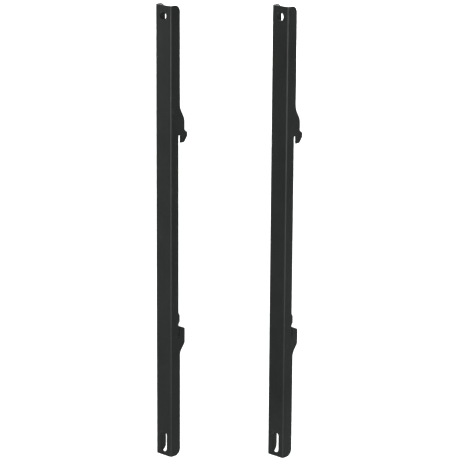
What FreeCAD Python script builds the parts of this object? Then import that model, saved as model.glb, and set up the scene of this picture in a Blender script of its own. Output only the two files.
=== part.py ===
import FreeCAD, Part
import Sketcher
import math
import os

# A pair of hook-on mounting strips for a large display.  Each strip is a folded
# steel channel that is screwed to the display's back and hung on a wall rail by
# the hooks in its two flanges.  A levelling jack inside each channel raises the
# strip until the catches near its lower end close on the rail.
#
# Frame: X across a strip, Y from the display towards the wall, Z up.  The origin
# is the centre of the left strip's screw hole, on the face that meets the display.

doc = FreeCAD.newDocument("MountingStrips")

# Driving dimensions in millimetres.  Heights are above a strip's lower end, and
# depths are behind the face that meets the display.
sizes = [
    ("strip_length", 635, "overall length of a strip"),
    ("web_width", 29, "width of the face that meets the display"),
    ("sheet_thickness", 2, "steel sheet"),
    ("bend_radius", 3, "outside radius of the two long folds"),
    ("flange_depth", 18, "depth of the flanges at both ends"),
    ("end_radius", 9.5, "rounding of the flanges at both ends"),
    ("hole_diameter", 11.5, "screw hole, and width of the screw slot"),
    ("hole_from_top", 14.5, "hole centre below the upper end"),
    ("hole_spacing", 600, "hole centre to slot centre"),
    ("slot_length", 30, "screw slot, end to end"),
    ("waist_depth", 15, "depth of the flanges between the hooks"),
    ("hook_slot_top", 457.5, "height of the closed end of the hook slot"),
    ("hook_slot_width", 4, "hook slot, for the rail's upper lip"),
    ("hook_slot_height", 11.2, "closed end down to the finger's tip"),
    ("hook_reach", 27, "depth of the hook's body"),
    ("finger_reach", 32, "depth of the hook's finger"),
    ("finger_height", 17.2, "finger tip up to the step above the finger"),
    ("finger_step", 4, "height of that step"),
    ("finger_nose", 7.2, "height of the finger's sloping nose"),
    ("finger_flat", 7, "flat tip of the finger, behind the slot"),
    ("finger_radius", 3, "rounding of the finger's tip and nose"),
    ("shoulder_low", 478.5, "height of the shoulder's lower corner"),
    ("shoulder_rise", 16.5, "lower corner up to the upper corner"),
    ("shoulder_radius", 18, "rounding of both corners"),
    ("catch_slot_floor", 172.5, "height of the closed end of the catch slot"),
    ("catch_slot_width", 2, "catch slot, for the rail's lower lip"),
    ("catch_slot_height", 15.5, "closed end up to the catch's tip"),
    ("catch_reach", 27.5, "depth of the catch"),
    ("catch_ramp", 5, "fall of the ramp behind the tip"),
    ("catch_nose", 3, "rounding where the ramp meets the back edge"),
    ("catch_heel", 162, "height of the catch's lower corner"),
    ("heel_fall", 12, "height of the slope under the catch"),
    ("heel_radius", 6, "rounding of the catch's lower corner"),
    ("foot_radius", 16, "rounding where that slope meets the flange"),
    ("pad_gap", 3, "catch tip up to the foot of the pad"),
    ("pad_flank", 3.4, "height of each sloping flank of the pad"),
    ("pad_face", 9.4, "height of the pad's face"),
    ("pad_rise", 2.4, "pad's face behind the waist"),
    ("edge_radius", 0.6, "small roundings of the back edge"),
    ("running_gap", 0.08, "radial clearance of turning and threaded fits"),
    ("side_gap", 0.4, "foot to flange, on each side"),
    ("thread_diameter", 8, "levelling screw, M8"),
    ("bridge_thickness", 2.5, "folded plate that carries the nut"),
    ("bridge_width", 15, "depth of that plate, centred on the screw"),
    ("bore_gap", 0.5, "radial clearance of the screw in the plate"),
    ("bridge_tab", 10, "height of its welded tabs"),
    ("bridge_height", 12.5, "hook slot's closed end up to the plate"),
    ("nut_flats", 13, "across flats"),
    ("nut_height", 6.5, "M8 weld nut"),
    ("thread_chamfer", 0.8, "chamfers at both ends of the thread"),
    ("throat_gap", 0.4, "radial clearance of the neck in the foot"),
    ("key_flats", 4, "hexagon socket in the screw's upper end"),
    ("key_depth", 6, "depth of that socket"),
    ("screw_top", 32.5, "hook slot's closed end up to the screw's end"),
    ("neck_top", 10.5, "hook slot's closed end up to the thread"),
    ("neck_diameter", 4.4, "neck between thread and ball"),
    ("ball_diameter", 6.4, "ball end that carries the foot"),
    ("ball_height", 5, "hook slot's closed end up to the ball's centre"),
    ("jack_foot_gap", 0.8, "hook slot's closed end up to the foot"),
    ("jack_foot_height", 7, "height of the foot"),
    ("jack_foot_depth", 9, "depth of the foot across the rail's lip"),
    ("strip_offset_x", 116, "right strip beside the left one"),
    ("strip_offset_y", 103, "right strip behind the left one"),
]
sheet = doc.addObject("Spreadsheet::Sheet", "Sizes")
for row, (alias, value, note) in enumerate(sizes, start=1):
    sheet.set("A%d" % row, alias)
    sheet.set("B%d" % row, str(value))
    sheet.set("C%d" % row, note)
    sheet.setAlias("B%d" % row, alias)
doc.recompute()


# ---- helpers ----------------------------------------------------------------

def size(expression):
    """Number that a spreadsheet expression stands for at the moment."""
    value = sheet.evalExpression(expression)
    return getattr(value, "Value", value)


def bind(target, **expressions):
    """Tie properties to spreadsheet expressions.  Base_x means Placement.Base.x."""
    for name, expression in expressions.items():
        path = name.replace("Base_", "Placement.Base.")
        target.setExpression(path, expression)


def sketch_on(body, role, name):
    """Empty sketch on one of the body's own origin planes."""
    plane = [f for f in body.Origin.OriginFeatures if f.Role == role][0]
    sketch = body.newObject("Sketcher::SketchObject", name)
    sketch.AttachmentSupport = (plane, [""])
    sketch.MapMode = "FlatFace"
    return sketch


def tie(sketch, kind, *place):
    """Add a distance constraint whose last argument is an expression."""
    expression = place[-1]
    value = size(expression)
    index = sketch.addConstraint(Sketcher.Constraint(kind, *place[:-1], value))
    sketch.setExpression("Constraints[%d]" % index, expression)


def polygon(sketch, corners):
    """Closed outline through corners, each a pair of expressions."""
    spots = [FreeCAD.Vector(size(across), size(up), 0) for across, up in corners]
    count = len(spots)
    for i in range(count):
        side = Part.LineSegment(spots[i], spots[(i + 1) % count])
        sketch.addGeometry(side, False)
    for i, (across, up) in enumerate(corners):
        sketch.addConstraint(Sketcher.Constraint("Coincident", i, 2, (i + 1) % count, 1))
        tie(sketch, "DistanceX", -1, 1, i, 1, across)
        tie(sketch, "DistanceY", -1, 1, i, 1, up)


def extrude(body, kind, sketch, name, length, side="Symmetric"):
    """Pad or Pocket of a sketch, checked to have changed the solid."""
    before = body.Shape.Volume if not body.Shape.isNull() else 0
    feature = body.newObject("PartDesign::" + kind, name)
    feature.Profile = sketch
    feature.SideType = side
    feature.setExpression("Length", length)
    doc.recompute()
    if abs(feature.Shape.Volume - before) < 1:
        raise RuntimeError(name + " changed nothing")
    return feature


def edges_at(shape, **place):
    """Names of the straight edges whose both ends lie at the given coordinates."""
    names = []
    for number, edge in enumerate(shape.Edges, start=1):
        ends = [vertex.Point for vertex in edge.Vertexes]
        if len(ends) == 2 and all(
            abs(getattr(end, axis) - value) < 0.01 for end in ends for axis, value in place.items()
        ):
            names.append("Edge%d" % number)
    return names


def round_edges(body, name, radius, places):
    """Fillet the edges at several places, with one radius from the sheet."""
    base = body.Tip
    names = []
    for place in places:
        found = edges_at(base.Shape, **place)
        if not found:
            raise RuntimeError("%s finds no edge at %s" % (name, place))
        names.extend(found)
    fillet = body.newObject("PartDesign::Fillet", name)
    fillet.Base = (base, names)
    fillet.setExpression("Radius", radius)
    doc.recompute()
    return fillet


# ---- the folded channel -----------------------------------------------------

waist = "Sizes.waist_depth"
end = "Sizes.flange_depth"
hook_slot_back = "Sizes.waist_depth + Sizes.hook_slot_width"
finger_tip = "Sizes.hook_slot_top - Sizes.hook_slot_height"
finger_flat_end = hook_slot_back + " + Sizes.finger_flat"
finger_step_foot = finger_tip + " + Sizes.finger_height - Sizes.finger_step"
catch_slot_back = "Sizes.waist_depth + Sizes.catch_slot_width"
catch_tip = "Sizes.catch_slot_floor + Sizes.catch_slot_height"
pad_foot = catch_tip + " + Sizes.pad_gap"
pad_low = pad_foot + " + Sizes.pad_flank"
pad_high = pad_low + " + Sizes.pad_face"
pad_depth = "Sizes.waist_depth + Sizes.pad_rise"

# Both flanges share this outline.  It runs from the lower front corner back
# along the lower end, and then up the back edge from the catch to the hook.
flange_outline = [
    ("0", "0"),
    (end, "0"),
    (end, "Sizes.catch_heel - Sizes.heel_fall"),
    ("Sizes.catch_reach", "Sizes.catch_heel"),
    ("Sizes.catch_reach", catch_tip + " - Sizes.catch_ramp"),
    (catch_slot_back, catch_tip),
    (catch_slot_back, "Sizes.catch_slot_floor"),
    (waist, "Sizes.catch_slot_floor"),
    (waist, pad_foot),
    (pad_depth, pad_low),
    (pad_depth, pad_high),
    (waist, pad_high + " + Sizes.pad_flank"),
    (waist, "Sizes.hook_slot_top"),
    (hook_slot_back, "Sizes.hook_slot_top"),
    (hook_slot_back, finger_tip),
    (finger_flat_end, finger_tip),
    ("Sizes.finger_reach", finger_tip + " + Sizes.finger_nose"),
    ("Sizes.finger_reach", finger_step_foot),
    ("Sizes.hook_reach", finger_tip + " + Sizes.finger_height"),
    ("Sizes.hook_reach", "Sizes.shoulder_low"),
    (end, "Sizes.shoulder_low + Sizes.shoulder_rise"),
    (end, "Sizes.strip_length"),
    ("0", "Sizes.strip_length"),
]

# The hook slot's closed end is nearly a half circle.
hook_slot_radius = "Sizes.hook_slot_width * 0.45"

# Roundings of that outline: a radius and the corners that get it.
outline_rounding = {
    "end_rounding": ("Sizes.end_radius", [1, 21]),
    "shoulder_rounding": ("Sizes.shoulder_radius", [19, 20]),
    "catch_foot_rounding": ("Sizes.foot_radius", [2]),
    "catch_heel_rounding": ("Sizes.heel_radius", [3]),
    "catch_nose_rounding": ("Sizes.catch_nose", [4]),
    "finger_rounding": ("Sizes.finger_radius", [15, 16]),
    "hook_slot_rounding": (hook_slot_radius, [12, 13]),
    "pad_rounding": ("Sizes.edge_radius", [8, 9, 10, 11]),
    "mouth_rounding": ("Sizes.edge_radius", [5, 14]),
}


def screw_slot(sketch, centre, length, width):
    """Upright slot with round ends on the sketch's own vertical axis."""
    rise = "(%s - %s) / 2" % (length, width)
    middle = size(centre)
    half = size(rise)
    radius = size(width + " / 2")
    spot = FreeCAD.Vector
    upper = Part.Circle(spot(0, middle + half, 0), spot(0, 0, 1), radius)
    lower = Part.Circle(spot(0, middle - half, 0), spot(0, 0, 1), radius)
    right = Part.LineSegment(spot(radius, middle - half, 0), spot(radius, middle + half, 0))
    left = Part.LineSegment(spot(-radius, middle + half, 0), spot(-radius, middle - half, 0))
    top_arc = sketch.addGeometry(Part.ArcOfCircle(upper, 0, math.pi), False)
    left_side = sketch.addGeometry(left, False)
    low_arc = sketch.addGeometry(Part.ArcOfCircle(lower, math.pi, 2 * math.pi), False)
    right_side = sketch.addGeometry(right, False)
    loop = [(top_arc, 2, left_side, 1), (left_side, 2, low_arc, 1),
            (low_arc, 2, right_side, 1), (right_side, 2, top_arc, 1)]
    for first, first_end, second, second_end in loop:
        sketch.addConstraint(
            Sketcher.Constraint("Tangent", first, first_end, second, second_end)
        )
    sketch.addConstraint(Sketcher.Constraint("PointOnObject", top_arc, 3, -2))
    sketch.addConstraint(Sketcher.Constraint("PointOnObject", low_arc, 3, -2))
    tie(sketch, "DistanceY", -1, 1, top_arc, 3, "%s + %s" % (centre, rise))
    tie(sketch, "DistanceY", -1, 1, low_arc, 3, "%s - %s" % (centre, rise))
    tie(sketch, "Radius", top_arc, width + " / 2")


def make_channel(label):
    """The folded strip: web, two flanges, hooks, catches, hole and slot."""
    body = doc.addObject("PartDesign::Body", label)
    profile = sketch_on(body, "YZ_Plane", label + "_outline")
    polygon(profile, flange_outline)
    extrude(body, "Pad", profile, label + "_blank", "Sizes.web_width")

    inside = sketch_on(body, "XY_Plane", label + "_inside")
    wall = "Sizes.web_width / 2 - Sizes.sheet_thickness"
    beyond = "Sizes.finger_reach + 1"
    polygon(inside, [("-(%s)" % wall, "Sizes.sheet_thickness"), (wall, "Sizes.sheet_thickness"),
                     (wall, beyond), ("-(%s)" % wall, beyond)])
    extrude(body, "Pocket", inside, label + "_cavity", "2 * Sizes.strip_length + 2")

    for name, (radius, corners) in outline_rounding.items():
        places = [{"y": size(flange_outline[k][0]), "z": size(flange_outline[k][1])}
                  for k in corners]
        round_edges(body, label + "_" + name, radius, places)

    half = size("Sizes.web_width / 2")
    inner = size(wall)
    thickness = size("Sizes.sheet_thickness")
    round_edges(body, label + "_outer_folds", "Sizes.bend_radius",
                [{"x": half, "y": 0}, {"x": -half, "y": 0}])
    round_edges(body, label + "_inner_folds", "Sizes.bend_radius - Sizes.sheet_thickness",
                [{"x": inner, "y": thickness}, {"x": -inner, "y": thickness}])

    holes = sketch_on(body, "XZ_Plane", label + "_holes")
    hole_height = "Sizes.strip_length - Sizes.hole_from_top"
    circle = Part.Circle(FreeCAD.Vector(0, size(hole_height), 0), FreeCAD.Vector(0, 0, 1),
                         size("Sizes.hole_diameter / 2"))
    hole = holes.addGeometry(circle, False)
    holes.addConstraint(Sketcher.Constraint("PointOnObject", hole, 3, -2))
    tie(holes, "DistanceY", -1, 1, hole, 3, hole_height)
    tie(holes, "Radius", hole, "Sizes.hole_diameter / 2")
    screw_slot(holes, hole_height + " - Sizes.hole_spacing", "Sizes.slot_length",
               "Sizes.hole_diameter")
    extrude(body, "Pocket", holes, label + "_screw_holes", "2 * Sizes.sheet_thickness + 1")
    return body


# ---- the levelling jack -----------------------------------------------------

jack_depth = "Sizes.waist_depth + Sizes.hook_slot_width / 2"
plate_low = "Sizes.hook_slot_top + Sizes.bridge_height"
plate_high = plate_low + " + Sizes.bridge_thickness"
thread_bore = "Sizes.thread_diameter / 2 + Sizes.running_gap"
ball_centre = "Sizes.hook_slot_top + Sizes.ball_height"


def make_bridge(label):
    """Folded plate between the flanges, welded by its two tabs."""
    body = doc.addObject("PartDesign::Body", label)
    profile = sketch_on(body, "XZ_Plane", label + "_profile")
    outer = "Sizes.web_width / 2 - Sizes.sheet_thickness"
    inner = outer + " - Sizes.bridge_thickness"
    tab_top = plate_low + " + Sizes.bridge_tab"
    polygon(profile, [
        ("-(%s)" % outer, plate_low), (outer, plate_low), (outer, tab_top), (inner, tab_top),
        (inner, plate_high), ("-(%s)" % inner, plate_high), ("-(%s)" % inner, tab_top),
        ("-(%s)" % outer, tab_top),
    ])
    extrude(body, "Pad", profile, label + "_plate", "Sizes.bridge_width")
    low = size(plate_low)
    wide = size(outer)
    round_edges(body, label + "_folds", "Sizes.bend_radius",
                [{"x": wide, "z": low}, {"x": -wide, "z": low}])
    bore = sketch_on(body, "XY_Plane", label + "_bore")
    radius = "Sizes.thread_diameter / 2 + Sizes.bore_gap"
    circle = Part.Circle(FreeCAD.Vector(0, 0, 0), FreeCAD.Vector(0, 0, 1), size(radius))
    ring = bore.addGeometry(circle, False)
    bore.addConstraint(Sketcher.Constraint("Coincident", ring, 3, -1, 1))
    tie(bore, "Radius", ring, radius)
    extrude(body, "Pocket", bore, label + "_through", "2 * Sizes.strip_length")
    return body


def primitive(kind, name, height, **properties):
    """Part primitive on the jack's axis, with its base at a given height."""
    thing = doc.addObject("Part::" + kind, name)
    bind(thing, Base_z=height, **properties)
    return thing


def combine(kind, name, pieces):
    """Boolean of several solids, tools last."""
    result = doc.addObject("Part::" + kind, name)
    if kind == "MultiFuse":
        result.Shapes = pieces
    else:
        result.Base, result.Tool = pieces
    return result


def make_nut(label):
    """Hexagon weld nut on the bridge, with its corners turned off."""
    corner = "Sizes.nut_flats / cos(30) / 2"
    hexagon = primitive("Prism", label + "_hexagon", plate_high,
                        Circumradius=corner, Height="Sizes.nut_height")
    hexagon.Polygon = 6
    turned = primitive("Cone", label + "_turned", plate_high, Height="Sizes.nut_height",
                       Radius1=corner + " + Sizes.nut_height", Radius2="Sizes.nut_flats / 2")
    blank = combine("Common", label + "_blank", (hexagon, turned))
    bore = primitive("Cylinder", label + "_bore", plate_high + " - 1",
                     Radius=thread_bore, Height="Sizes.nut_height + 2")
    return combine("Cut", label, (blank, bore))


def make_screw(label):
    """Headless levelling screw: hexagon socket above, neck and ball below."""
    top = "Sizes.hook_slot_top + Sizes.screw_top"
    thread_low = "Sizes.hook_slot_top + Sizes.neck_top"
    radius = "Sizes.thread_diameter / 2"
    neck_radius = "Sizes.neck_diameter / 2"
    chamfer = "Sizes.thread_chamfer"
    thread = primitive("Cylinder", label + "_thread", thread_low + " + " + chamfer, Radius=radius,
                       Height="Sizes.screw_top - Sizes.neck_top - 2 * Sizes.thread_chamfer")
    lead = primitive("Cone", label + "_lead", thread_low, Height=chamfer,
                     Radius1="%s - %s" % (radius, chamfer), Radius2=radius)
    tail = primitive("Cone", label + "_tail", "%s - %s" % (top, chamfer), Height=chamfer,
                     Radius1=radius, Radius2="%s - %s" % (radius, chamfer))
    neck = primitive("Cylinder", label + "_neck", ball_centre, Radius=neck_radius,
                     Height="Sizes.neck_top - Sizes.ball_height")
    ball = primitive("Sphere", label + "_ball", ball_centre, Radius="Sizes.ball_diameter / 2")
    blank = combine("MultiFuse", label + "_blank", [thread, lead, tail, neck, ball])
    socket = primitive("Prism", label + "_socket", top + " - Sizes.key_depth",
                       Circumradius="Sizes.key_flats / cos(30) / 2",
                       Height="Sizes.key_depth + 1")
    socket.Polygon = 6
    return combine("Cut", label, (blank, socket))


def make_foot(label):
    """Bar that presses on the rail's upper lip; the screw's ball snaps into it."""
    foot_low = "Sizes.hook_slot_top + Sizes.jack_foot_gap"
    half = "Sizes.web_width / 2 - Sizes.sheet_thickness - Sizes.side_gap"
    bar = primitive("Box", label + "_bar", foot_low, Length="2 * (%s)" % half,
                    Width="Sizes.jack_foot_depth", Height="Sizes.jack_foot_height")
    bind(bar, Base_x="-(%s)" % half, Base_y="-Sizes.jack_foot_depth / 2")
    ball = primitive("Sphere", label + "_socket", ball_centre,
                     Radius="Sizes.ball_diameter / 2 + Sizes.running_gap")
    throat = primitive("Cylinder", label + "_throat", ball_centre,
                       Radius="Sizes.neck_diameter / 2 + Sizes.throat_gap",
                       Height="Sizes.jack_foot_height")
    cavity = combine("MultiFuse", label + "_cavity", [ball, throat])
    return combine("Cut", label, (bar, cavity))


# ---- both strips ------------------------------------------------------------

drop = "-(Sizes.strip_length - Sizes.hole_from_top)"
pieces = []
for side, across, behind in (("left", "0", "0"),
                             ("right", "Sizes.strip_offset_x", "Sizes.strip_offset_y")):
    channel = make_channel(side + "_strip")
    bind(channel, Base_x=across, Base_y=behind, Base_z=drop)
    jack = [
        make_bridge(side + "_jack_bridge"),
        make_nut(side + "_jack_nut"),
        make_screw(side + "_jack_screw"),
        make_foot(side + "_jack_foot"),
    ]
    for piece in jack:
        bind(piece, Base_x=across, Base_y="%s + %s" % (behind, jack_depth), Base_z=drop)
    pieces.append(channel)
    pieces.extend(jack)

doc.recompute()
for thing in doc.Objects:
    if "Invalid" in thing.State or "Error" in thing.State:
        raise RuntimeError("%s failed: %s" % (thing.Name, thing.State))

os.makedirs("parts", exist_ok=True)
for piece in pieces:
    shape = piece.Shape
    if shape.isNull() or not shape.isValid() or shape.Volume <= 0:
        raise RuntimeError(piece.Label + " has no sound solid")
    shape.exportStep("parts/%s.step" % piece.Label)
    print("%-20s %8.1f mm3, %d solid" % (piece.Label, shape.Volume, len(shape.Solids)))
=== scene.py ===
import math
import bmesh
import bpy
from mathutils import Matrix, Vector


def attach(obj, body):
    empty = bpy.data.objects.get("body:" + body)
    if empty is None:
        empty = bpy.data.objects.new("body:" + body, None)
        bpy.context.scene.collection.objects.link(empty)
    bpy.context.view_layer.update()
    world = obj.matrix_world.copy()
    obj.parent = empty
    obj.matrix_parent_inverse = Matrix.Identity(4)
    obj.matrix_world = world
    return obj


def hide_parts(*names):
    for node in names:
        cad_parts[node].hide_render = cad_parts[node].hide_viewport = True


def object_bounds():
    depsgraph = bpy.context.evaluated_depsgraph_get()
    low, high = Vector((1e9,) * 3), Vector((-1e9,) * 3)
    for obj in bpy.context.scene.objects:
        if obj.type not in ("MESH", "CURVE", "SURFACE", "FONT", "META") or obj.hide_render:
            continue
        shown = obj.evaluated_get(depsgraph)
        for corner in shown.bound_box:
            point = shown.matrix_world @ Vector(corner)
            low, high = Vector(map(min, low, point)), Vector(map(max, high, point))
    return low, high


# Pair of black hook-on display strips, each with a levelling jack in its channel.
# Metres, in the frame of the CAD model: +X across a strip, +Y towards the wall, +Z up.

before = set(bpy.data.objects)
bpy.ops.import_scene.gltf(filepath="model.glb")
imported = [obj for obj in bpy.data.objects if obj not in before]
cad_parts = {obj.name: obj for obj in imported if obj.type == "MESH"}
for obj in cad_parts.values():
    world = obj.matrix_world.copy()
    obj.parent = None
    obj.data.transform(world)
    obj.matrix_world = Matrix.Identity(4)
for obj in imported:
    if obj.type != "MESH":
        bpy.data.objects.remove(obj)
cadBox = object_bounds()
sides = ("left", "right")
scene = bpy.context.scene


# Shader maths: a Val wraps one socket, and an expression on it adds the Math nodes.
class Val:
    def __init__(self, tree, socket):
        self.tree = tree
        self.socket = socket

    def __add__(self, other):
        return self.tree.math("ADD", self, other)

    def __sub__(self, other):
        return self.tree.math("SUBTRACT", self, other)

    def __mul__(self, other):
        return self.tree.math("MULTIPLY", self, other)

    def __radd__(self, other):
        return self.tree.math("ADD", other, self)

    def __rsub__(self, other):
        return self.tree.math("SUBTRACT", other, self)

    def __rmul__(self, other):
        return self.tree.math("MULTIPLY", other, self)


# One node tree.  add() makes a node, applies its settings, then feeds its sockets:
# at0=... is the first socket, Base_Color=... the one with that name.
class Tree:
    def __init__(self, nodeTree):
        self.nodes = nodeTree.nodes
        self.links = nodeTree.links
        self.nodes.clear()

    def add(self, kind, settings=None, out=0, **inputs):
        node = self.nodes.new(kind)
        for name, value in (settings or {}).items():
            if name == "stops":
                self.setStops(node.color_ramp, value)
            else:
                setattr(node, name, value)
        for name, value in inputs.items():
            numbered = name.startswith("at") and name[2:].isdigit()
            socket = node.inputs[int(name[2:]) if numbered else name.replace("_", " ")]
            if isinstance(value, Val):
                self.links.new(value.socket, socket)
            else:
                socket.default_value = value
        return Val(self, node.outputs[out]) if node.outputs else None

    def setStops(self, ramp, stops):
        while len(ramp.elements) < len(stops):
            ramp.elements.new(0.5)
        for element, (place, colour) in zip(ramp.elements, stops):
            element.position = place
            element.color = (*colour, 1)

    def math(self, operation, *values, clamp=False):
        sockets = {"at" + str(place): value for place, value in enumerate(values)}
        settings = {"operation": operation, "use_clamp": clamp}
        return self.add("ShaderNodeMath", settings, **sockets)

    def objectPlace(self):
        return self.add("ShaderNodeTexCoord", out=3)

    def noise(self, place, scale, detail, roughness):
        return self.add("ShaderNodeTexNoise", Vector=place, Scale=scale, Detail=detail,
                        Roughness=roughness)

    def ramp(self, amount, *stops):
        return self.add("ShaderNodeValToRGB", {"stops": stops}, Fac=amount)


def newMaterial(name):
    material = bpy.data.materials.new(name)
    material.use_nodes = True
    return material, Tree(material.node_tree)


# The plain mesh that one modifier makes of a mesh; inputs are a recipe's own sockets.
def modified(mesh, kind, settings, inputs=None):
    holder = bpy.data.objects.new("holder", mesh)
    scene.collection.objects.link(holder)
    modifier = holder.modifiers.new("step", kind)
    for name, value in settings.items():
        setattr(modifier, name, value)
    for identifier, value in (inputs or {}).items():
        modifier[identifier] = value
    bpy.context.view_layer.update()
    depsgraph = bpy.context.evaluated_depsgraph_get()
    finished = bpy.data.meshes.new_from_object(holder.evaluated_get(depsgraph))
    bpy.data.objects.remove(holder)
    return finished


# A Geometry Nodes group with named inputs; mesh() runs it once and keeps a plain mesh.
class Recipe:
    def __init__(self, name, inputs):
        self.group = bpy.data.node_groups.new(name, "GeometryNodeTree")
        self.tree = Tree(self.group)
        self.identifiers = {}
        for label, kind in inputs.items():
            socket = self.addSocket(label, "INPUT", kind)
            self.identifiers[label] = socket.identifier
        self.addSocket("Geometry", "OUTPUT", "Geometry")
        source = self.tree.nodes.new("NodeGroupInput")
        self.inputs = {label: Val(self.tree, source.outputs[label]) for label in inputs}

    def addSocket(self, label, way, kind):
        return self.group.interface.new_socket(label, in_out=way, socket_type="NodeSocket" + kind)

    def finish(self, geometry):
        real = self.tree.add("GeometryNodeRealizeInstances", Geometry=geometry)
        painted = self.tree.add("GeometryNodeSetMaterial", Geometry=real,
                                Material=self.inputs["Material"])
        self.tree.add("NodeGroupOutput", Geometry=painted)

    def mesh(self, values):
        return modified(bpy.data.meshes.new("empty"), "NODES", {"node_group": self.group},
                        {self.identifiers[label]: value for label, value in values.items()})


# Satin black powder coat: fine orange peel, faint cloudy gloss, dust in the grain.
coatLook = {
    "dark": (0.0022, 0.0026, 0.0024),
    "light": (0.0037, 0.0043, 0.0041),
    "darkUpTo": 0.35,
    "lightFrom": 0.7,
    "cloudInColour": 0.6,      # the rest is grain
    "roughness": 0.46,
    "cloudRoughness": 0.10,
    "grainRoughness": 0.06,
    "specular": 0.055,
    "peelScale": 900.0,
    "grainScale": 3200.0,
    "cloudScale": 14.0,
    "bump": 0.55,
    "bumpDepth": 0.00008,
    "peelInBump": 0.75,        # the rest is grain
}


def coatMaterial():
    look = coatLook
    material, tree = newMaterial("satinPowderCoat")
    place = tree.objectPlace()
    cloud = tree.noise(place, look["cloudScale"], 4.0, 0.6)
    peel = tree.noise(place, look["peelScale"], 2.0, 0.5)
    grain = tree.noise(place, look["grainScale"], 1.0, 0.5)
    tone = cloud * look["cloudInColour"] + grain * (1 - look["cloudInColour"])
    colour = tree.ramp(tone, (look["darkUpTo"], look["dark"]), (look["lightFrom"], look["light"]))
    roughness = (look["roughness"] + (cloud - 0.5) * look["cloudRoughness"]
                 + (grain - 0.5) * look["grainRoughness"])
    relief = peel * look["peelInBump"] + grain * (1 - look["peelInBump"])
    bump = tree.add("ShaderNodeBump", Strength=look["bump"], Distance=look["bumpDepth"],
                    Height=relief)
    shader = tree.add("ShaderNodeBsdfPrincipled", Base_Color=colour, Roughness=roughness,
                      Specular_IOR_Level=look["specular"], Normal=bump)
    tree.add("ShaderNodeOutputMaterial", Surface=shader)
    return material


# Bright zinc plate on the levelling screws, duller in spots.
zincLook = {
    "bright": (0.60, 0.61, 0.62),
    "dull": (0.42, 0.42, 0.41),
    "dullUpTo": 0.38,
    "brightFrom": 0.62,
    "roughness": 0.30,
    "spotRoughness": 0.25,
    "lineRoughness": 0.12,
    "spotScale": 420.0,
    "lineScale": 2600.0,
    "lineStretch": (0.05, 0.05, 1.0),      # rings round the screw's axis
    "bump": 0.15,
    "bumpDepth": 0.00003,
}


def zincMaterial():
    look = zincLook
    material, tree = newMaterial("zincPlate")
    place = tree.objectPlace()
    spots = tree.noise(place, look["spotScale"], 5.0, 0.65)
    turned = tree.add("ShaderNodeMapping", Vector=place, Scale=look["lineStretch"])
    lines = tree.noise(turned, look["lineScale"], 2.0, 0.5)
    colour = tree.ramp(spots, (look["dullUpTo"], look["dull"]),
                       (look["brightFrom"], look["bright"]))
    roughness = (look["roughness"] + (spots - 0.5) * look["spotRoughness"]
                 + (lines - 0.5) * look["lineRoughness"])
    bump = tree.add("ShaderNodeBump", Strength=look["bump"], Distance=look["bumpDepth"],
                    Height=lines)
    shader = tree.add("ShaderNodeBsdfPrincipled", Base_Color=colour, Metallic=1.0,
                      Roughness=roughness, Normal=bump)
    tree.add("ShaderNodeOutputMaterial", Surface=shader)
    return material


# Moulded glass-filled nylon: matt charcoal with a spark-eroded grain.
nylonLook = {
    "dark": (0.016, 0.016, 0.017),
    "light": (0.030, 0.030, 0.031),
    "darkUpTo": 0.3,
    "lightFrom": 0.7,
    "grainInColour": 0.5,      # the rest is flow
    "roughness": 0.62,
    "flowRoughness": 0.2,
    "grainScale": 2400.0,
    "flowScale": 260.0,
    "flowStretch": (0.35, 1.0, 1.0),
    "bump": 0.35,
    "bumpDepth": 0.00005,
}


def nylonMaterial():
    look = nylonLook
    material, tree = newMaterial("mouldedNylon")
    place = tree.objectPlace()
    grain = tree.noise(place, look["grainScale"], 3.0, 0.6)
    stretched = tree.add("ShaderNodeMapping", Vector=place, Scale=look["flowStretch"])
    flow = tree.noise(stretched, look["flowScale"], 3.0, 0.5)
    tone = grain * look["grainInColour"] + flow * (1 - look["grainInColour"])
    colour = tree.ramp(tone, (look["darkUpTo"], look["dark"]), (look["lightFrom"], look["light"]))
    roughness = look["roughness"] + (flow - 0.5) * look["flowRoughness"]
    bump = tree.add("ShaderNodeBump", Strength=look["bump"], Distance=look["bumpDepth"],
                    Height=grain)
    shader = tree.add("ShaderNodeBsdfPrincipled", Base_Color=colour, Roughness=roughness,
                      Normal=bump)
    tree.add("ShaderNodeOutputMaterial", Surface=shader)
    return material


coat = coatMaterial()
zinc = zincMaterial()
nylon = nylonMaterial()
print("materials ready")


def addPiece(name, mesh, material, body, slot, *nodes):
    piece = bpy.data.objects.new(name, mesh)
    scene.collection.objects.link(piece)
    mesh.materials.clear()
    mesh.materials.append(material)
    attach(piece, body)
    if nodes:
        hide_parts(*nodes)


# How a node's own mesh is cleaned before it is finished.
cleaning = {"mergeWithin": 0.000005, "flatWithin": 0.5, "edgeAngle": 32.0}


# A node's own shape with its doubled vertices and flat triangles joined.
def joinedCopy(node):
    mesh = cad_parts[node].data.copy()
    shape = bmesh.new()
    shape.from_mesh(mesh)
    bmesh.ops.remove_doubles(shape, verts=shape.verts, dist=cleaning["mergeWithin"])
    bmesh.ops.dissolve_limit(shape, angle_limit=math.radians(cleaning["flatWithin"]),
                             verts=shape.verts, edges=shape.edges)
    shape.to_mesh(mesh)
    shape.free()
    return mesh


def smoothByAngle(mesh, angle):
    mesh.shade_smooth()
    mesh.set_sharp_from_angle(angle=math.radians(angle))


# A node's joined shape with its sharp edges broken, as the coat or the mould leaves
# them, and its flat faces kept flat beside the rounded ones.
def softenedCopy(node, look):
    mesh = modified(joinedCopy(node), "BEVEL", {
        "width": look["edge"], "segments": look["segments"], "limit_method": "ANGLE",
        "angle_limit": math.radians(cleaning["edgeAngle"]), "use_clamp_overlap": True})
    smoothByAngle(mesh, cleaning["edgeAngle"])
    return modified(mesh, "WEIGHTED_NORMAL", {
        "mode": "FACE_AREA", "weight": 100, "keep_sharp": True})


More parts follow.
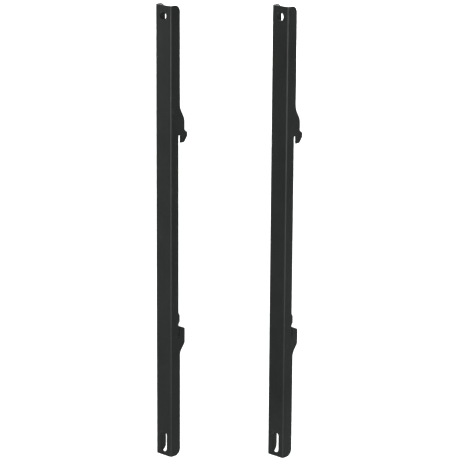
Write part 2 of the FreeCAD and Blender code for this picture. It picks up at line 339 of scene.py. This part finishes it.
stripLook = {"edge": 0.00012, "segments": 2}
bridgeLook = {"edge": 0.00030, "segments": 2}
nutLook = {"edge": 0.00025, "segments": 2}
footLook = {"edge": 0.00060, "segments": 3}

coatedParts = (("Strip", "_strip", stripLook), ("JackBridge", "_jack_bridge", bridgeLook),
               ("JackNut", "_jack_nut", nutLook))

for side in sides:
    for part, node, look in coatedParts:
        addPiece(side + part, softenedCopy(side + node, look), coat, side + "_channel",
                 "coated_steel", side + node)
    addPiece(side + "JackFoot", softenedCopy(side + "_jack_foot", footLook), nylon,
             side + "_foot", "nylon", side + "_jack_foot")
print("strips, bridges, nuts and feet ready")


# Levelling screws, M8.  The core is the CAD screw turned down to the thread's root;
# the thread is a sleeve round it, closed by an inner wall hidden in the core.
jackAxis = {"left": (0.0, 0.017), "right": (0.116, 0.120)}
screwLook = {
    "low": -0.15247,
    "high": -0.13053,
    "radius": 0.00398,
    "depth": 0.00074,
    "pitch": 0.00125,
    "flank": 1.45,          # steepness of the V, in depths per half pitch
    "root": 1.18,           # over 1 leaves a flat root, under the flank a flat crest
    "chamfer": 0.00072,
    "core": 0.00315,
    "neckMargin": 0.0001,   # the core is turned down from this far under the thread
    "wall": 0.00300,
    "seamWithin": 0.000001,
    "columns": 65,
    "rowsPerTurn": 10,
    "wallRows": 3,
    "coreSmoothing": 32,
    "threadSmoothing": 40,
}


def threadRecipe():
    recipe = Recipe("screwThread", {
        "Axis X": "Float", "Axis Y": "Float", "Low": "Float", "High": "Float",
        "Radius": "Float", "Depth": "Float", "Pitch": "Float", "Chamfer": "Float",
        "Wall": "Float", "Columns": "Int", "Rows": "Int", "Material": "Material"})
    tree, given = recipe.tree, recipe.inputs
    rows = given["Rows"]
    grid = tree.add("GeometryNodeMeshGrid", Size_X=1.0, Size_Y=1.0,
                    Vertices_X=given["Columns"], Vertices_Y=rows)
    flat = tree.add("GeometryNodeInputPosition")
    around = tree.add("ShaderNodeSeparateXYZ", Vector=flat) + 0.5
    row = (tree.add("ShaderNodeSeparateXYZ", out=1, Vector=flat) + 0.5) * (rows - 1)

    # Rows 1 to rows - 3 are the thread; 0, rows - 2 and rows - 1 lie on the hidden wall.
    # Rows are compared half a row off, so that rounding can't move one across.
    isLast = tree.math("GREATER_THAN", row, rows - 1.5)
    isUpper = tree.math("GREATER_THAN", row, rows - 2.5)
    isFirst = tree.math("LESS_THAN", row, 0.5)
    hidden = tree.math("MAXIMUM", isUpper, isFirst)
    climb = tree.math("DIVIDE", row - 1, rows - 4, clamp=True) * (1 - isLast)
    height = given["Low"] + climb * (given["High"] - given["Low"])

    # A V with a flat crest and root, climbing one pitch in each turn.
    phase = tree.math("FRACT", tree.math("DIVIDE", height, given["Pitch"]) - around)
    valley = tree.math("ABSOLUTE", phase * 2 - 1)
    valley = tree.math("MULTIPLY_ADD", valley, -screwLook["flank"], screwLook["root"], clamp=True)
    radius = given["Radius"] - valley * given["Depth"]
    start = given["Radius"] - given["Chamfer"]
    radius = tree.math("MINIMUM", radius, start + (height - given["Low"]))
    radius = tree.math("MINIMUM", radius, start + (given["High"] - height))
    radius = radius * (1 - hidden) + given["Wall"] * hidden

    angle = around * (2 * math.pi)
    across = given["Axis X"] + radius * tree.math("COSINE", angle)
    behind = given["Axis Y"] + radius * tree.math("SINE", angle)
    place = tree.add("ShaderNodeCombineXYZ", X=across, Y=behind, Z=height)
    sleeve = tree.add("GeometryNodeSetPosition", Geometry=grid, Position=place)
    sleeve = tree.add("GeometryNodeMergeByDistance", Geometry=sleeve,
                      Distance=screwLook["seamWithin"])
    recipe.finish(sleeve)
    return recipe


# The CAD screw with everything above the neck brought in to the thread's root.
def turnedCore(side):
    mesh = joinedCopy(side + "_jack_screw")
    x, y = jackAxis[side]
    neck = screwLook["low"] - screwLook["neckMargin"]
    for vertex in mesh.vertices:
        spread = math.hypot(vertex.co.x - x, vertex.co.y - y)
        if vertex.co.z > neck and spread > screwLook["core"]:
            part = screwLook["core"] / spread
            vertex.co.x = x + (vertex.co.x - x) * part
            vertex.co.y = y + (vertex.co.y - y) * part
    smoothByAngle(mesh, screwLook["coreSmoothing"])
    return mesh


# Turns every face outward, whichever way the recipe wound it.
def faceOutward(mesh):
    shape = bmesh.new()
    shape.from_mesh(mesh)
    bmesh.ops.recalc_face_normals(shape, faces=shape.faces)
    if shape.calc_volume(signed=True) < 0:
        bmesh.ops.reverse_faces(shape, faces=shape.faces)
    shape.to_mesh(mesh)
    shape.free()


thread = threadRecipe()
turnCount = (screwLook["high"] - screwLook["low"]) / screwLook["pitch"]
threadRows = round(turnCount * screwLook["rowsPerTurn"]) + screwLook["wallRows"]

for side in sides:
    x, y = jackAxis[side]
    mesh = thread.mesh({
        "Axis X": x, "Axis Y": y, "Low": screwLook["low"], "High": screwLook["high"],
        "Radius": screwLook["radius"], "Depth": screwLook["depth"],
        "Pitch": screwLook["pitch"], "Chamfer": screwLook["chamfer"],
        "Wall": screwLook["wall"], "Columns": screwLook["columns"], "Rows": threadRows,
        "Material": zinc})
    faceOutward(mesh)
    smoothByAngle(mesh, screwLook["threadSmoothing"])
    body = side + "_screw"
    addPiece(side + "ScrewThread", mesh, zinc, body, "zinc_steel")
    addPiece(side + "ScrewCore", turnedCore(side), zinc, body, "zinc_steel", side + "_jack_screw")
print("levelling screws ready")


# Weld beads under the coat: overlapping ripples along a line.
weldLook = {
    "ripple": 0.00085,
    "smallest": 0.86,
    "largest": 1.08,
    "roundness": 3,
    "pace": 0.00062,        # from one ripple to the next
    "jitter": 0.00008,
    "tabInner": 0.0125,     # the flanges' inner faces, either side of the axis
    "tabInset": 0.0003,
    "tabLow": -0.1472,
    "tabHigh": -0.1409,
    "tabBack": 0.0076,      # the tabs' rear edges, behind the axis
    "plate": -0.1480,       # the nut's seat
    "tackLift": 0.0002,
    "tackReach": 0.0067,
    "tackHalf": 0.0014,
    "tackAngles": (30.0, 150.0, 270.0),
    "rearSeed": 11,
    "frontSeed": 21,
    "tackSeed": 31,
    "shiftSeed": 7,         # added to a line's seed for its ripples' shift
    "smoothing": 60,
}


def beadRecipe():
    recipe = Recipe("weldBead", {
        "Start": "Vector", "Step": "Vector", "Count": "Int", "Ripple": "Float",
        "Jitter": "Float", "Seed": "Int", "Material": "Material"})
    tree, given = recipe.tree, recipe.inputs

    def randomVector(low, high, seed):
        return tree.add("FunctionNodeRandomValue", {"data_type": "FLOAT_VECTOR"},
                        at0=(low, low, low), at1=(high, high, high), Seed=seed)

    line = tree.add("GeometryNodeMeshLine", Count=given["Count"],
                    Start_Location=given["Start"], Offset=given["Step"])
    drop = tree.add("GeometryNodeMeshIcoSphere", Radius=given["Ripple"],
                    Subdivisions=weldLook["roundness"])
    spread = randomVector(weldLook["smallest"], weldLook["largest"], given["Seed"])
    ripples = tree.add("GeometryNodeInstanceOnPoints", Points=line, Instance=drop, Scale=spread)
    shift = randomVector(-1.0, 1.0, given["Seed"] + weldLook["shiftSeed"])
    shift = tree.add("ShaderNodeVectorMath", {"operation": "SCALE"}, Vector=shift,
                     Scale=given["Jitter"])
    ripples = tree.add("GeometryNodeTranslateInstances", Instances=ripples, Translation=shift)
    recipe.finish(ripples)
    return recipe


# Where one side's beads run; each line is a start, an end and a seed.
def weldLines(x, y):
    low, high = weldLook["tabLow"], weldLook["tabHigh"]
    reach = weldLook["tabInner"] - weldLook["tabInset"]
    lines = []
    for turn, edgeX in enumerate((x - reach, x + reach)):
        for edgeY, seed in ((y + weldLook["tabBack"], weldLook["rearSeed"]),
                            (y - weldLook["tabBack"], weldLook["frontSeed"])):
            lines.append((Vector((edgeX, edgeY, low)), Vector((edgeX, edgeY, high)), seed + turn))
    centre = Vector((x, y, weldLook["plate"] + weldLook["tackLift"]))
    for tack, degrees in enumerate(weldLook["tackAngles"]):
        angle = math.radians(degrees)
        outward = Vector((math.cos(angle), math.sin(angle), 0))
        along = Vector((-math.sin(angle), math.cos(angle), 0)) * weldLook["tackHalf"]
        middle = centre + outward * weldLook["tackReach"]
        lines.append((middle - along, middle + along, weldLook["tackSeed"] + tack))
    return lines


# Every bead of one side in one mesh.
def weldMesh(bead, lines):
    shape = bmesh.new()
    for start, end, seed in lines:
        count = max(2, round((end - start).length / weldLook["pace"]) + 1)
        shape.from_mesh(bead.mesh({
            "Start": tuple(start), "Step": tuple((end - start) / (count - 1)),
            "Count": count, "Ripple": weldLook["ripple"], "Jitter": weldLook["jitter"],
            "Seed": seed, "Material": coat}))
    merged = bpy.data.meshes.new("welds")
    shape.to_mesh(merged)
    shape.free()
    return merged


bead = beadRecipe()
for side in sides:
    mesh = weldMesh(bead, weldLines(*jackAxis[side]))
    faceOutward(mesh)
    smoothByAngle(mesh, weldLook["smoothing"])
    addPiece(side + "Welds", mesh, coat, side + "_channel", "coated_steel")
print("welds ready")


# Plain pale studio: even light all round, a lamp facing the folds, a weaker one in
# front on the left and one behind for the levelling jacks.
studio = {
    "floorDrop": 0.16,
    "floorSize": 60.0,
    "floorColour": (0.93, 0.93, 0.93, 1),
    "world": 1.0,
    "skyPower": 0.12,
    "skySpread": 130.0,
    "skyPlace": (0.0, 0.0, 4.0),
    "lamps": {
        "key": {"power": 2200.0, "size": 2.2, "place": (4.2, -4.4, 0.1)},
        "fill": {"power": 190.0, "size": 2.0, "place": (-5.3, -3.1, 0.1)},
        "back": {"power": 320.0, "size": 2.0, "place": (-3.6, 4.8, 0.9)},
    },
}


# A lamp that looks at the middle of the object from a place beside it.
def lampAt(name, kind, place):
    lamp = bpy.data.lights.new(name, kind)
    light = bpy.data.objects.new(name, lamp)
    scene.collection.objects.link(light)
    centre = (cadBox[0] + cadBox[1]) / 2
    light.location = centre + Vector(place)
    light.rotation_mode = "QUATERNION"
    light.rotation_quaternion = (centre - light.location).to_track_quat("-Z", "Y")
    return lamp


def makeWorld():
    world = bpy.data.worlds.new("studio")
    world.use_nodes = True
    tree = Tree(world.node_tree)
    light = tree.add("ShaderNodeBackground", Color=(1, 1, 1, 1), Strength=studio["world"])
    tree.add("ShaderNodeOutputWorld", Surface=light)
    scene.world = world


def makeFloor():
    mesh = bpy.data.meshes.new("floor")
    half = studio["floorSize"] / 2
    level = cadBox[0].z - studio["floorDrop"]
    corners = [(-half, -half, level), (half, -half, level), (half, half, level),
               (-half, half, level)]
    mesh.from_pydata(corners, [], [(0, 1, 2, 3)])
    floor = bpy.data.objects.new("floor", mesh)
    scene.collection.objects.link(floor)
    material, tree = newMaterial("paleFloor")
    paint = tree.add("ShaderNodeBsdfDiffuse", Color=studio["floorColour"])
    tree.add("ShaderNodeOutputMaterial", Surface=paint)
    mesh.materials.append(material)


def makeLamps():
    sky = lampAt("sky", "SUN", studio["skyPlace"])
    sky.energy = studio["skyPower"]
    sky.angle = math.radians(studio["skySpread"])
    for name, setup in studio["lamps"].items():
        lamp = lampAt(name, "AREA", setup["place"])
        lamp.energy = setup["power"]
        lamp.size = setup["size"]


cameraSetup = {
    "azimuth": 42.176,     # degrees, 0 looks along +Y
    "elevation": 15.73,
    "roll": 0.335,
    "distance": 3.271,
    "lens": 187.83,
    "sensor": 36,
    "near": 0.1,
    "far": 200,
    "aside": 0.00229,      # the aim, right of the object's middle
    "above": 0.0054,
}


def makeCamera():
    setup = cameraSetup
    azimuth = math.radians(setup["azimuth"])
    elevation = math.radians(setup["elevation"])
    forward = Vector((-math.sin(azimuth) * math.cos(elevation),
                      math.cos(azimuth) * math.cos(elevation), -math.sin(elevation)))
    level = Vector((math.cos(azimuth), math.sin(azimuth), 0))
    upright = level.cross(forward)
    aim = (cadBox[0] + cadBox[1]) / 2 + level * setup["aside"] + upright * setup["above"]
    lens = bpy.data.cameras.new("camera")
    lens.lens = setup["lens"]
    lens.sensor_width = setup["sensor"]
    lens.clip_start = setup["near"]
    lens.clip_end = setup["far"]
    camera = bpy.data.objects.new("camera", lens)
    scene.collection.objects.link(camera)
    camera.rotation_mode = "QUATERNION"
    roll = Matrix.Rotation(math.radians(setup["roll"]), 4, "Z").to_quaternion()
    camera.rotation_quaternion = forward.to_track_quat("-Z", "Y") @ roll
    camera.location = aim - forward * setup["distance"]
    scene.camera = camera


makeWorld()
makeFloor()
makeLamps()
makeCamera()
scene.view_settings.view_transform = "Standard"
print("studio and camera ready")
